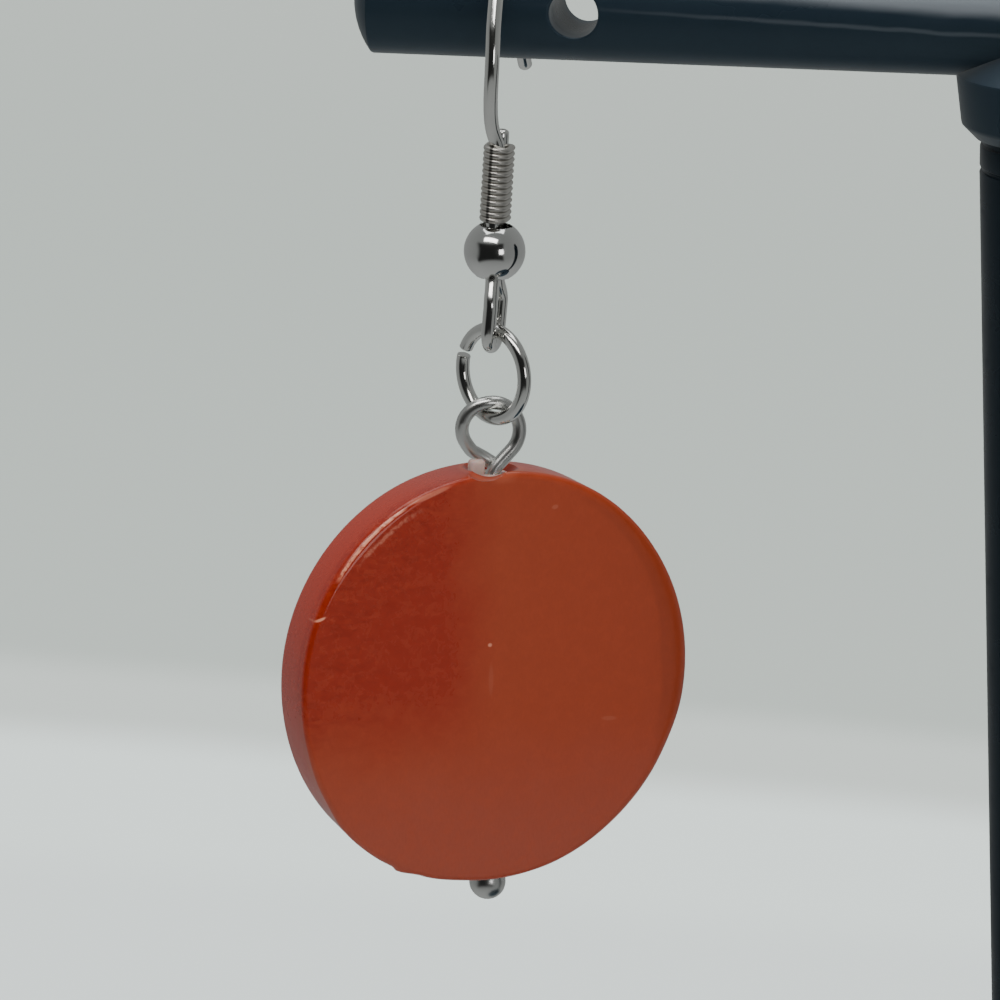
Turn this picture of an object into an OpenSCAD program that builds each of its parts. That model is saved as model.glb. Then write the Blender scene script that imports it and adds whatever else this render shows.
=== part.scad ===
// Disc drop earring on a plain T-bar stand, in millimetres.
// The stand's base rests on z = 0 with its middle at the origin. X runs along the bar,
// the front is -Y and +Z is up. The drop hangs from the eye of the ear hook.

/* [Stand] */
// Diameter of the round base
base_d = 50; // [44:1:70]
// Thickness of the base
base_t = 4; // [3:0.5:6]
// Height of the bar's centre line
bar_z = 86; // [75:1:120]
// Length of the bar
bar_len = 69.4; // [67:0.1:80]
// Diameter of the bar
bar_d = 5.4; // [5:0.1:5.8]
// Distance of each arm hole from the middle of the bar
hole_x = 23.6; // [18:0.1:24]
// Diameter of the arm holes
hole_d = 2.4; // [1.6:0.1:2.6]
// Diameter of the post at its top
post_top_d = 8.1; // [7:0.1:8.4]
// Diameter of the post at its waist
post_waist_d = 4.6; // [4:0.1:6.5]
// Height of the waist
post_waist_z = 24; // [15:1:40]
// Diameter of the post at its foot
post_foot_d = 10; // [7:0.5:14]
// Diameter of the hub that joins bar and post
hub_d = 10.5; // [10:0.1:12]

/* [Ear hook] */
// Diameter of the ear wire
wire_d = 0.7; // [0.6:0.05:0.8]
// Radius of the arch over the bar, to the wire's centre line
arch_r = 3.15; // [3.15:0.05:3.6]
// Place of the hook along the bar
hook_x = -27.4; // [-29:0.1:-26.5]
// Depth of the eye in front of the bar's centre line
eye_front = 2.75; // [2.6:0.05:3.2]
// Height from the eye's bottom to the bar's centre line
eye_drop = 16.45; // [16:0.05:18]
// Half the width of the eye, to the wire's centre line
eye_half = 1.02; // [0.96:0.02:1.2]
// Turn of the eye's plane from front-to-back, towards the post
eye_turn = 5; // [0:0.5:15]
// How far the tail's end stands behind the bar's centre line
tail_back = 4.9; // [4:0.1:6]
// Height of the tail's end over the eye's bottom
tail_end = 12.3; // [10:0.05:14]

/* [Bead and coil] */
// Diameter of the metal bead on the hook
bead_d = 3; // [2.8:0.1:3.2]
// Height of the bead's centre over the eye's bottom
bead_up = 4.7; // [4.6:0.05:5]
// Diameter of the coil's wire
coil_wire_d = 0.26; // [0.2:0.01:0.28]
// Number of turns of the coil
coil_turns = 13; // [8:1:13]
// Height of the coil's top over the eye's bottom
coil_top = 10.05; // [10:0.05:10.5]
// Sideways lean of the coil and bead
coil_lean = 3; // [0:0.2:4]

/* [Jump ring] */
// Outside diameter of the jump ring
ring_od = 5.1; // [4.8:0.1:5.6]
// Diameter of the ring's wire
ring_wire_d = 0.7; // [0.6:0.05:0.75]
// Turn of the ring's plane about the upright
ring_turn = -38; // [-45:0.5:-25]
// Angle of the open cut
ring_cut = 10; // [4:1:12]
// How far the ring hangs off its middle, along its plane
ring_off = 0.12; // [0:0.01:0.2]

/* [Pin and disc] */
// Diameter of the pin's wire
pin_d = 0.68; // [0.6:0.02:0.7]
// Radius of the pin's loop, to the wire's centre line
loop_r = 1.42; // [1.36:0.02:1.5]
// Turn of the loop's plane about the upright
loop_turn = 24; // [15:0.5:35]
// Diameter of the pin's ball head
head_d = 1.8; // [1.6:0.02:1.8]
// Diameter of the disc
disc_d = 20.5; // [18:0.1:21]
// Thickness of the disc
disc_t = 3.1; // [2.8:0.1:5]
// Radius of the disc's rounded edges
disc_edge = 0.35; // [0.3:0.05:0.6]
// Diameter of the drilled hole
drill_d = 1.4; // [1.2:0.05:1.5]
// How far the hole is drilled off the disc's middle
disc_off = 0.25; // [0:0.05:0.3]
// Direction of the disc's face about the upright
disc_face = -57; // [-90:0.5:-30]

/* [Hidden] */

// Round forms of the stand and the drop
$fn = 64;
// Gap between pieces that lie on each other, and room for the links to swing
seat_gap = 0.05;
eye_gap = 0.12;
loop_gap = 0.06;
// Sides of the ear wire and of the coil's thin wire
wire_sides = 12;
coil_sides = 6;
// Colours
stand_black = [0.07, 0.08, 0.09];
steel = [0.75, 0.75, 0.76];
disc_orange = [0.56, 0.22, 0.13];
glue_pale = [0.78, 0.68, 0.64];

// Stand
base_edge = 1.2;
base_foot = 0.4;
foot_spigot_d = 5;
foot_spigot_len = 2;
socket_low = base_t - foot_spigot_len - seat_gap;
hub_low = 5.55;
hub_taper = 0.3;
hub_chamfer = 0.65;
hub_shoulder = 2.5;
hub_crown = 0.6;
hub_inset = 0.15;
post_spigot_d = 5;
post_spigot_up = 3;
neck_groove = 0.12;
neck_band = 1.6;
groove_w = 0.15;
groove_slope = 0.1;
neck_lip = 0.4;
// The bar's ends are low domes
bar_dome = 0.95;
dome_r = (pow(bar_d / 2, 2) + pow(bar_dome, 2)) / (2 * bar_dome);
dome_corner = asin(bar_d / 2 / dome_r);
post_low = base_t + seat_gap;
post_high = bar_z - hub_low - seat_gap;
foot_lip = 0.5;

// Bottom of the eye, where the ring hangs
eye_z = bar_z - eye_drop;
eye = [hook_x, -eye_front, eye_z];
// Front-to-back direction of the eye's plane and the level direction across it
eye_dir = [sin(eye_turn), cos(eye_turn), 0];
eye_side = [cos(eye_turn), -sin(eye_turn), 0];
// Half the spacing of the two wires that run side by side through the bead
pair_gap = 0.04;
pair_half = (wire_d + pair_gap) / 2;
// The wire closes to this spacing where it enters the bead
eye_shoulder = 2.1;
bead_inside = 0.35;
eye_neck = bead_up - bead_d / 2 + bead_inside;
// Sideways lean of the eye, and sideways places of the wires and of the bead
eye_lean = 0.079;
pair_sideways = 0.013;
bead_sideways = 0.088;
stub_show = 0.62;
stub_top = coil_top + stub_show;
// Arch, which rests on top of the bar
arch_mid = eye_drop + bar_d / 2 + seat_gap + wire_d / 2 - arch_r;
arch_sideways = 0.11;
// The front of the arch leans by this angle where the leg meets it
arch_lean = 28;
arch_steps = 13;
// The leg bows out in front of the bar: sideways from the hook's place, depth, height over the eye
leg_spots = [[0.13, -3.19, 10.4], [0.04, -3.33, 10.8], [0, -3.52, 11.2], [-0.005, -3.72, 11.7],
    [0.03, -4, 12.45], [0.08, -4.2, 13.15], [0.12, -4.3, 13.75], [0.14, -4.29, 14.35],
    [0.14, -4.15, 15.05], [0.12, -3.9, 15.75], [0.11, -3.53, 16.48], [0.11, -3.15, 17.19]];
// The shank stays straight this far over the coil
shank_show = 0.1;

// Coil
// It clears the wires that it goes round, and its foot lies on the bead
coil_gap = 0.06;
coil_b = wire_d / 2 + coil_gap + coil_wire_d / 2;
coil_sink = 0.17;
coil_low = bead_up + bead_d / 2 - coil_sink;
bead_hole_d = 2 * (pair_half + wire_d / 2 + coil_gap);

// Jump ring: its wire lies on the eye's wire
ring_r = (ring_od - ring_wire_d) / 2;
ring_dir = [cos(ring_turn), sin(ring_turn), 0];
ring_mid = eye + ring_off * ring_dir + [0, 0, wire_d / 2 + ring_wire_d / 2 + eye_gap - ring_r];
ring_low = ring_mid - ring_off * ring_dir - [0, 0, ring_r];
ring_cut_at = 159;

// Pin loop: it hangs on the ring's wire
loop_top = ring_low + [0, 0, ring_wire_d / 2 + pin_d / 2 + loop_gap];
loop_mid = loop_top - [0, 0, loop_r];
loop_dir = [cos(loop_turn), sin(loop_turn), 0];
loop_back = [-sin(loop_turn), cos(loop_turn), 0];
// The round starts at the knee over the shank, which lies in the mouth of the disc's hole
knee_drop = 0.62;
loop_close = acos(loop_r / (loop_r + knee_drop));
knee_z = loop_mid[2] - loop_r - knee_drop;
// The round ends at this angle, a little behind, and the end comes down behind the shank:
// along the loop, up and behind, from the loop's middle
round_last = 160;
round_behind = 0.3;
loop_end_spots = [[-1.375, 0.2, 0.38], [-1.34, -0.13, 0.47], [-1.23, -0.45, 0.55],
    [-1.05, -0.75, 0.62], [-0.81, -1.07, 0.68], [-0.54, -1.25, 0.72], [-0.28, -1.4, 0.74],
    [-0.05, -1.55, 0.74], [0.15, -1.69, 0.74]];
loop_trim = 0.005;
drop_x = loop_mid[0];
drop_y = loop_mid[1];

// Disc, with a wider mouth at each end of the drilled hole, flared at the top
disc_drop = 0.32;
disc_top = loop_mid[2] - loop_r - disc_drop;
disc_mid = disc_top - disc_d / 2;
mouth_d = 1.9;
mouth_deep = 1.0;
mouth_flare = 0.45;
mouth_over = 1;
low_mouth_deep = 0.25;
// The ball head sinks into the lower mouth until it bears on the edge of the drilled hole
head_out = sqrt(pow(head_d / 2, 2) - pow(drill_d / 2, 2));
head_z = disc_top - disc_d + low_mouth_deep - head_out - seat_gap;
// Angle at the ball head's middle that the pin's wire takes up
head_neck = asin(pin_d / head_d);

// Glue low in the mouth of the hole, with a dab that stands up beside the pin
dab_gap = 0.03;
dab_low = 0.5;
dab_root = 0.15;
dab_block_x = [-1.2, -0.52];
dab_block_y = [-0.65, -0.05];
dab_block_z = [-dab_low - dab_root, 0.55];

function unit(v) = v / norm(v);
function mix(a, b, t) = a * (1 - t) + b * t;
function ease(t) = t * t * (3 - 2 * t);

// Corner of a profile as an arc: centre, radius, first and last angle
function arc_points(c, r, a0, a1, steps) =
    [for (i = [0:steps]) c + r * [cos(mix(a0, a1, i / steps)), sin(mix(a0, a1, i / steps))]];

// Direction of a path at point i
function heading(path, i) =
    unit(path[min(i + 1, len(path) - 1)] - path[max(i - 1, 0)]);

// Ring of points round point i of a path; reference is a direction that the path never takes
function wire_ring(path, i, r, sides, reference) =
    let (t = heading(path, i), a = unit(cross(reference, t)), b = cross(t, a))
    [for (j = [0:sides - 1]) path[i] + r * (cos(360 * j / sides) * a + sin(360 * j / sides) * b)];

// Wire of radius r along a path, with its two ends cut square
module wire(path, r, sides, reference) {
    rings = len(path);
    points = [for (i = [0:rings - 1]) each wire_ring(path, i, r, sides, reference)];
    walls = [for (i = [0:rings - 2], j = [0:sides - 1]) let (k = (j + 1) % sides)
        each [[i * sides + j, (i + 1) * sides + j, i * sides + k],
            [i * sides + k, (i + 1) * sides + j, (i + 1) * sides + k]]];
    first_cap = [[for (j = [0:sides - 1]) j]];
    last_cap = [[for (j = [sides - 1:-1:0]) (rings - 1) * sides + j]];
    polyhedron(points = points, faces = concat(walls, first_cap, last_cap), convexity = 8);
}

// Line midway between the two wires, at a height over the eye's bottom
function hook_axis(up) =
    eye + [up < eye_shoulder ? eye_lean * up
        : up < bead_up ? mix(eye_lean * eye_shoulder, pair_sideways,
            ease((up - eye_shoulder) / (bead_up - eye_shoulder)))
        : pair_sideways + tan(coil_lean) * (up - bead_up), 0, up];
bead_mid = eye + [bead_sideways, 0, bead_up];

// Point of the doubled wire: side is 1 for the stub behind and -1 for the shank in front
function pair_point(side, half, up) = hook_axis(up) + side * half * eye_dir;
function pair_half_at(up) =
    up > eye_neck ? pair_half
    : up < eye_shoulder ? eye_half
    : mix(eye_half, pair_half, ease((up - eye_shoulder) / (eye_neck - eye_shoulder)));

// The stub runs down through coil and bead to the eye's shoulder
stub_path = concat(
    [pair_point(1, pair_half, stub_top), pair_point(1, pair_half, bead_up)],
    [for (i = [0:6]) let (up = mix(eye_neck, eye_shoulder, i / 6)) pair_point(1, pair_half_at(up), up)]);
// The eye's round bottom
eye_path = [for (a = [0:15:180])
    hook_axis(eye_half * (1 - sin(a))) + cos(a) * eye_half * eye_dir];
// The shank runs up through bead and coil
shank_path = concat(
    [for (i = [0:6]) let (up = mix(eye_shoulder, eye_neck, i / 6)) pair_point(-1, pair_half_at(up), up)],
    [pair_point(-1, pair_half, bead_up), pair_point(-1, pair_half, coil_top + shank_show)]);
// Over the coil it steps forward to the leg, which rises to the arch
leg_path = [for (p = leg_spots) [hook_x + p[0], p[1], eye_z + p[2]]];
arch_x = hook_x + arch_sideways;
arch_path = [for (i = [0:arch_steps]) let (a = mix(180 - arch_lean, 0, i / arch_steps))
    [arch_x, arch_r * cos(a), eye_z + arch_mid + arch_r * sin(a)]];
// The tail bends outwards behind the bar
tail_drop = arch_mid - tail_end;
tail_sideways = 0.22;
tail_path = [for (i = [1:5]) let (t = i / 5)
    [arch_x + tail_sideways * t, mix(arch_r, tail_back, t * t), eye_z + arch_mid - tail_drop * t]];
hook_path = concat(stub_path, eye_path, shank_path, leg_path, arch_path, tail_path);

// One turn of the coil goes round both wires: a half round at each, with flats between
turn_angles = [-90, -60, -30, 0, 30, 60, 90];
function turn_point(side, a) = side * pair_half * eye_dir
    + coil_b * (cos(a) * side * eye_dir + sin(a) * side * eye_side);
turn_points = concat(
    [for (a = turn_angles) turn_point(1, a)],
    [for (a = turn_angles) turn_point(-1, a)]);
coil_points = len(turn_points) * coil_turns;
coil_first = coil_low + coil_wire_d / 2;
coil_last = coil_top - coil_wire_d / 2;
coil_path = [for (i = [0:coil_points]) let (t = i / coil_points)
    hook_axis(mix(coil_first, coil_last, t)) + turn_points[i % len(turn_points)]];

// The pin's loop starts at the shank, runs up the front on the right and ends behind it
function loop_point(p) = loop_mid + p[0] * loop_dir + [0, 0, p[1]] + p[2] * loop_back;
loop_path = concat(
    [[drop_x, drop_y, knee_z]],
    [for (i = [0:14]) let (t = i / 14, a = mix(loop_close - 90, round_last, t))
        loop_point([loop_r * cos(a), loop_r * sin(a), round_behind * ease(max(0, 2 * t - 1))])],
    [for (p = loop_end_spots) loop_point(p)]);

// Profile of the disc, radius against thickness, with rounded edges
disc_profile = concat(
    [[0, -disc_t / 2]],
    arc_points([disc_d / 2 - disc_edge, -disc_t / 2 + disc_edge], disc_edge, -90, 0, 5),
    arc_points([disc_d / 2 - disc_edge, disc_t / 2 - disc_edge], disc_edge, 0, 90, 5),
    [[0, disc_t / 2]]);

module stand_base() {
    color(stand_black)
    rotate_extrude()
        polygon(concat(
            [[0, 0], [base_d / 2 - base_foot, 0], [base_d / 2, base_foot]],
            arc_points([base_d / 2 - base_edge, base_t - base_edge], base_edge, 0, 90, 5),
            [[foot_spigot_d / 2 + seat_gap, base_t], [foot_spigot_d / 2 + seat_gap, socket_low],
                [0, socket_low]]));
}

// The post's foot spreads out in a hollow curve below the waist
foot_curve = [for (i = [0:8]) let (a = 90 * i / 8)
    [mix(post_foot_d / 2, post_waist_d / 2, sin(a)),
        mix(post_low + foot_lip, post_waist_z, 1 - cos(a))]];

// Waisted round post with a spigot at each end and two fine grooves at its neck
module stand_post() {
    top_r = post_top_d / 2;
    groove_r = top_r - neck_groove;
    neck = post_high - neck_band;
    color(stand_black)
    rotate_extrude()
        polygon(concat(
            [[0, post_low - foot_spigot_len], [foot_spigot_d / 2, post_low - foot_spigot_len],
                [foot_spigot_d / 2, post_low], [post_foot_d / 2, post_low]],
            foot_curve,
            [[top_r, neck - groove_slope], [groove_r, neck], [groove_r, neck + groove_w],
                [top_r, neck + groove_w + groove_slope],
                [top_r, post_high - neck_lip], [groove_r, post_high - neck_lip + groove_slope],
                [groove_r, post_high],
                [post_spigot_d / 2, post_high], [post_spigot_d / 2, post_high + post_spigot_up],
                [0, post_high + post_spigot_up]]));
}

// Round bar with domed ends
module bar_rod() {
    rotate([0, 90, 0])
    rotate_extrude()
        polygon(concat(
            arc_points([0, dome_r - bar_len / 2], dome_r, -90, dome_corner - 90, 6),
            arc_points([0, bar_len / 2 - dome_r], dome_r, 90 - dome_corner, 90, 6)));
}

// Hub under the middle of the bar, which takes the post's spigot
module bar_hub() {
    translate([0, 0, -hub_low])
    rotate_extrude()
        polygon([
            [0, 0], [hub_d / 2 - hub_taper - hub_chamfer, 0], [hub_d / 2 - hub_taper, hub_chamfer],
            [hub_d / 2, hub_low - hub_shoulder], [bar_d / 2 - hub_inset, hub_low - hub_crown],
            [0, hub_low - hub_crown]]);
}

module stand_bar() {
    color(stand_black)
    translate([0, 0, bar_z])
    difference() {
        union() {
            bar_rod();
            bar_hub();
        }
        for (side = [-1, 1])
            translate([side * hole_x, 0, 0])
            rotate([90, 0, 0])
                cylinder(d = hole_d, h = bar_d + 2, center = true);
        translate([0, 0, -hub_low - 1])
            cylinder(d = post_spigot_d + 2 * seat_gap, h = post_spigot_up + 1 + seat_gap);
    }
}

// Ear wire: stub, eye, shank, arch and tail in one length of wire
module ear_hook() {
    color(steel)
    wire(hook_path, wire_d / 2, wire_sides, [1, 0, 0]);
}

module hook_coil() {
    color(steel)
    wire(coil_path, coil_wire_d / 2, coil_sides, [0, 0, 1]);
}

module hook_bead() {
    color(steel)
    translate(bead_mid)
    rotate([0, coil_lean, 0])
    difference() {
        sphere(d = bead_d);
        cylinder(d = bead_hole_d, h = bead_d + 1, center = true);
    }
}

module jump_ring() {
    color(steel)
    translate(ring_mid)
    rotate([0, 0, ring_turn])
    rotate([90, 0, 0])
    rotate([0, 0, ring_cut_at + ring_cut / 2])
    rotate_extrude(angle = 360 - ring_cut)
    translate([ring_r, 0])
        circle(d = ring_wire_d, $fn = 32);
}

// Pin with a ball head under the disc and an open loop over it
module ball_pin() {
    color(steel)
    union() {
        translate([drop_x, drop_y, head_z])
        rotate_extrude()
            polygon(concat(
                arc_points([0, 0], head_d / 2, -90, 90 - head_neck, 24),
                [[pin_d / 2, knee_z - head_z], [0, knee_z - head_z + pin_d / 2]]));
        wire(loop_path, pin_d / 2 - loop_trim, wire_sides, loop_back);
    }
}

// Form that fills the mouth of the hole, less a gap all round; z = 0 is the disc's top
module mouth_form(gap) {
    r = mouth_d / 2 - gap;
    rotate_extrude()
        polygon([[0, gap - mouth_deep], [r, gap - mouth_deep], [r, -mouth_flare],
            [r + mouth_flare + mouth_over, mouth_over], [0, mouth_over]]);
}

// Pale glue: a plug in the mouth of the hole and a dab beside the pin
module glue_dab() {
    color(glue_pale)
    translate([drop_x, drop_y, disc_top])
    difference() {
        intersection() {
            mouth_form(dab_gap);
            union() {
                translate([0, 0, -2 * mouth_deep])
                    cylinder(d = 2 * mouth_d, h = 2 * mouth_deep - dab_low);
                rotate([0, 0, loop_turn])
                translate([dab_block_x[0], dab_block_y[0], dab_block_z[0]])
                    cube([dab_block_x[1] - dab_block_x[0], dab_block_y[1] - dab_block_y[0],
                        dab_block_z[1] - dab_block_z[0]]);
            }
        }
        translate([0, 0, -mouth_deep])
            cylinder(d = pin_d + 2 * dab_gap, h = mouth_deep + 2);
    }
}

module disc() {
    color(disc_orange)
    translate([drop_x, drop_y, disc_mid])
    difference() {
        rotate([0, 0, disc_face])
        translate([0, -disc_off, 0])
        rotate([0, 90, 0])
        rotate_extrude($fn = 128)
            polygon(disc_profile);
        cylinder(d = drill_d, h = disc_d + 2, center = true);
        translate([0, 0, disc_d / 2])
            mouth_form(0);
        translate([0, 0, -disc_d / 2 - 1])
            cylinder(d = mouth_d, h = low_mouth_deep + 1);
    }
}

stand_base();
stand_post();
stand_bar();
ear_hook();
hook_coil();
hook_bead();
jump_ring();
ball_pin();
glue_dab();
disc();
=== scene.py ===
import math

import bpy
from mathutils import Matrix, Vector


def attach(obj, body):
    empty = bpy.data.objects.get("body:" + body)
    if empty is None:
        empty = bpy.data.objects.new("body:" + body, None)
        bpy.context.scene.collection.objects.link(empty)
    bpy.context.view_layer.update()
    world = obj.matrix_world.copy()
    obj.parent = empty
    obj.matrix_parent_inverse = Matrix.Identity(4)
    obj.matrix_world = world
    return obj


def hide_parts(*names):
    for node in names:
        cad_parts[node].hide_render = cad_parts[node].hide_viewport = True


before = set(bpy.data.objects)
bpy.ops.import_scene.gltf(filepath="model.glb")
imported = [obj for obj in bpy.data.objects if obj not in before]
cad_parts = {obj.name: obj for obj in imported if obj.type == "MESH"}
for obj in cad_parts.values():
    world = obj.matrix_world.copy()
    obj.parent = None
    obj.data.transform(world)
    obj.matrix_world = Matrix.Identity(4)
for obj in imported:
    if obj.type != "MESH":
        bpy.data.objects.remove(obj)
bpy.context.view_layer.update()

# All sizes below are in millimetres; MM turns them into the scene's metres.
MM = 0.001

# Stand: the bar's height, radius, length and domed ends, the holes in its arms, the post's ends and sockets
BAR_Z, BAR_R, BAR_LEN, BAR_DOME = 86.0, 2.7, 69.4, 0.95
HOLE_X, HOLE_R = 23.6, 1.2
POST_LOW, POST_HIGH, SOCKET_R = 4.05, 80.4, 2.55

# The line that the earring hangs on
HANG_X, HANG_Y = -27.4, -2.75

# Ear wire: the eye's bottom, its wire and half its distance where doubled, the eye's width, shoulder and neck
EYE = Vector((HANG_X, HANG_Y, 69.55))
WIRE_R, PAIR_HALF = 0.35, 0.37
EYE_HALF, EYE_SHOULDER, EYE_NECK = 1.02, 2.1, 3.55
EYE_TURN = math.radians(5)
EYE_DIR = Vector((math.sin(EYE_TURN), math.cos(EYE_TURN), 0))
EYE_SIDE = Vector((math.cos(EYE_TURN), -math.sin(EYE_TURN), 0))
BEAD_R, BEAD_UP = 1.5, 4.7
COIL_TOP, COIL_LEAN, COIL_TURNS = 10.05, math.radians(3), 13
# Sideways: the eye's lean for each millimetre up, the doubled wire's middle at the bead, and the bead itself
EYE_LEAN, AXIS_AT_BEAD, BEAD_SIDEWAYS = 0.079, 0.013, 0.088
# Arch over the bar, and the tail behind it: its end's height over the eye, its depth and its drift to the side
ARCH_X, ARCH_R, ARCH_LEAN, ARCH_GAP = -27.29, 3.15, 28, 0.02
TAIL_END, TAIL_Y, TAIL_SIDEWAYS = 12.35, 4.9, 0.22

# Jump ring: its size, its turn about the upright, and where round it the gap is
RING_R, RING_WIRE_R = 2.2, 0.335
RING_TURN, RING_GAP_AT = math.radians(-38), math.radians(159)
RING_DIR = Vector((math.cos(RING_TURN), math.sin(RING_TURN), 0))
RING_MID = EYE + 0.12 * RING_DIR + Vector((0, 0, 0.82 - RING_R))

# Pin: its wire, its ball head, and its loop, which starts in a knee over the disc
PIN_R, HEAD_R = 0.34, 0.9
LOOP_R, KNEE_DOWN = 1.42, 2.04
LOOP_TURN = math.radians(24)
LOOP_DIR = Vector((math.cos(LOOP_TURN), math.sin(LOOP_TURN), 0))
LOOP_BACK = Vector((-math.sin(LOOP_TURN), math.cos(LOOP_TURN), 0))
LOOP_MID = Vector((HANG_X, HANG_Y, 65.30))

# Disc: its size and height, its face's direction, level along its face, and the hole drilled down it,
# whose mouths are wider
DISC_R, DISC_HALF, DISC_Z = 10.25, 1.55, 53.31
DISC_FACE = math.radians(-57)
FACE_ALONG = Vector((-math.sin(DISC_FACE), math.cos(DISC_FACE), 0))
HOLE_SIDEWAYS, DRILL_R, MOUTH_R, LOW_MOUTH_DEEP = 0.25, 0.7, 0.95, 0.25
DISC_MID = Vector((HANG_X, HANG_Y, DISC_Z)) - HOLE_SIDEWAYS * FACE_ALONG
DISC_TOP = DISC_Z + DISC_R


# Hand tools
def put_down():
    """Leave edit mode and let go of everything."""
    if bpy.context.object and bpy.context.object.mode != "OBJECT":
        bpy.ops.object.mode_set(mode="OBJECT")
    bpy.ops.object.select_all(action="DESELECT")


def take(piece):
    put_down()
    piece.select_set(True)
    bpy.context.view_layer.objects.active = piece


def newest(name):
    """Name the primitive just added and put its place into its mesh."""
    piece = bpy.context.object
    piece.name = piece.data.name = name
    bpy.ops.object.transform_apply(location=True, rotation=True, scale=True)
    return piece


def pick(piece, kind, test):
    """Go into edit mode with only those vertices, edges or faces picked that pass the test."""
    take(piece)
    bpy.ops.object.mode_set(mode="EDIT")
    bpy.ops.mesh.select_mode(type=kind)
    bpy.ops.mesh.select_all(action="DESELECT")
    bpy.ops.object.mode_set(mode="OBJECT")
    parts = {"VERT": piece.data.vertices, "EDGE": piece.data.edges, "FACE": piece.data.polygons}[kind]
    for part in parts:
        part.select = bool(test(part))
    bpy.ops.object.mode_set(mode="EDIT")


def pick_all(piece):
    """Go into edit mode with the whole mesh picked."""
    take(piece)
    bpy.ops.object.mode_set(mode="EDIT")
    bpy.ops.mesh.select_mode(type="VERT")
    bpy.ops.mesh.select_all(action="SELECT")


def edge_mid(piece, edge):
    a, b = edge.vertices
    return (piece.data.vertices[a].co + piece.data.vertices[b].co) / 2


def tidy_mesh(piece, gap=0.0005):
    """Merge doubles and turn every face outwards."""
    pick_all(piece)
    bpy.ops.mesh.remove_doubles(threshold=gap * MM)
    bpy.ops.mesh.normals_make_consistent(inside=False)
    put_down()


def smooth(piece, degrees=35):
    take(piece)
    bpy.ops.object.shade_smooth_by_angle(angle=math.radians(degrees))


def use(piece, kind, **settings):
    """Add a modifier and apply it."""
    take(piece)
    tool = piece.modifiers.new(kind.title(), kind)
    for key, value in settings.items():
        setattr(tool, key, value)
    bpy.ops.object.modifier_apply(modifier=tool.name)


def cut(piece, cutter, operation="DIFFERENCE"):
    use(piece, "BOOLEAN", operation=operation, solver="EXACT", object=cutter)
    bpy.data.objects.remove(cutter)


def turned(name, profile, sides=96):
    """A turned form: a filled circle, raised ring by ring through the profile's (radius, height)."""
    put_down()
    radius, height = profile[0]
    bpy.ops.mesh.primitive_circle_add(vertices=sides, radius=radius * MM, fill_type="NGON",
                                      location=(0, 0, height * MM))
    piece = newest(name)
    bpy.ops.object.mode_set(mode="EDIT")
    bpy.ops.mesh.select_all(action="SELECT")
    for r, z in profile[1:]:
        bpy.ops.mesh.extrude_region_move(TRANSFORM_OT_translate={"value": (0, 0, (z - height) * MM)})
        bpy.ops.transform.resize(value=(r / radius, r / radius, 1), center_override=(0, 0, 0))
        radius, height = r, z
    put_down()
    tidy_mesh(piece)
    return piece


def wire(name, line, sides):
    """A round wire along (point, radius) pairs, both in millimetres."""
    path = bpy.data.curves.new(name, "CURVE")
    path.dimensions = "3D"
    path.bevel_depth = MM
    path.bevel_resolution = (sides - 4) // 2
    path.use_fill_caps = True
    path.twist_mode = "MINIMUM"
    run = path.splines.new("POLY")
    run.points.add(len(line) - 1)
    for spot, (place, radius) in zip(run.points, line):
        spot.co = (*(place * MM), 1)
        spot.radius = radius
    piece = bpy.data.objects.new(name, path)
    bpy.context.collection.objects.link(piece)
    take(piece)
    bpy.ops.object.convert(target="MESH")
    piece = bpy.context.object
    piece.name = piece.data.name = name
    tidy_mesh(piece, 0.00005)
    smooth(piece, 50)
    return piece


def mix(a, b, t):
    return a * (1 - t) + b * t


def ease(t):
    return t * t * (3 - 2 * t)


def through(points, steps=5):
    """A smooth line that passes through all the points."""
    line = []
    for i in range(len(points) - 1):
        a, b, c, d = (points[min(max(i + k, 0), len(points) - 1)] for k in (-1, 0, 1, 2))
        for k in range(steps):
            t = k / steps
            line.append(0.5 * (2 * b + (c - a) * t + (2 * a - 5 * b + 4 * c - d) * t ** 2
                               + (3 * b - a - 3 * c + d) * t ** 3))
    return line + [points[-1]]


def corner(centre, radius, first, last, steps):
    """Arc of a profile, angles in degrees."""
    angles = [math.radians(mix(first, last, i / steps)) for i in range(steps + 1)]
    return [(centre[0] + radius * math.cos(a), centre[1] + radius * math.sin(a)) for a in angles]


def rounded_ends(points, radius, start=True, soft=0.8):
    """Give a line of points its radius and a domed end, and a domed start unless it carries a wire on."""
    line = [(p, radius) for p in points]
    steps = [(0.0, 0.12), (0.06, 0.42), (0.16, 0.66), (0.32, 0.86), (0.55, 0.97)]

    def dome(tip, inner):
        way = (inner - tip).normalized()
        return [(tip + way * (soft * radius * along), radius * share) for along, share in steps]

    if start:
        line = dome(points[0], points[1]) + line[1:]
    return line[:-1] + dome(points[-1], points[-2])[::-1]


# Camera: how far it is turned, raised and rolled, the point it looks at and how far off it stands
AZ, EL, ROLL = math.radians(9), math.radians(13), math.radians(0.5)
AIM, AWAY = Vector((-26.69, -4.34, 62.25)), 582.5
towards = Vector((math.sin(AZ) * math.cos(EL), -math.cos(AZ) * math.cos(EL), math.sin(EL)))
level = Vector((math.cos(AZ), math.sin(AZ), 0))
upright = towards.cross(level)
right = level * math.cos(ROLL) + upright * math.sin(ROLL)
top = upright * math.cos(ROLL) - level * math.sin(ROLL)
lens = bpy.data.cameras.new("camera")
lens.lens, lens.sensor_width = 432, 36
lens.clip_start, lens.clip_end = 0.05, 20
camera = bpy.data.objects.new("camera", lens)
bpy.context.collection.objects.link(camera)
turn = Matrix((right, top, towards)).transposed()
camera.matrix_world = Matrix.Translation((AIM + towards * AWAY) * MM) @ turn.to_4x4()
bpy.context.scene.camera = camera


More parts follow.
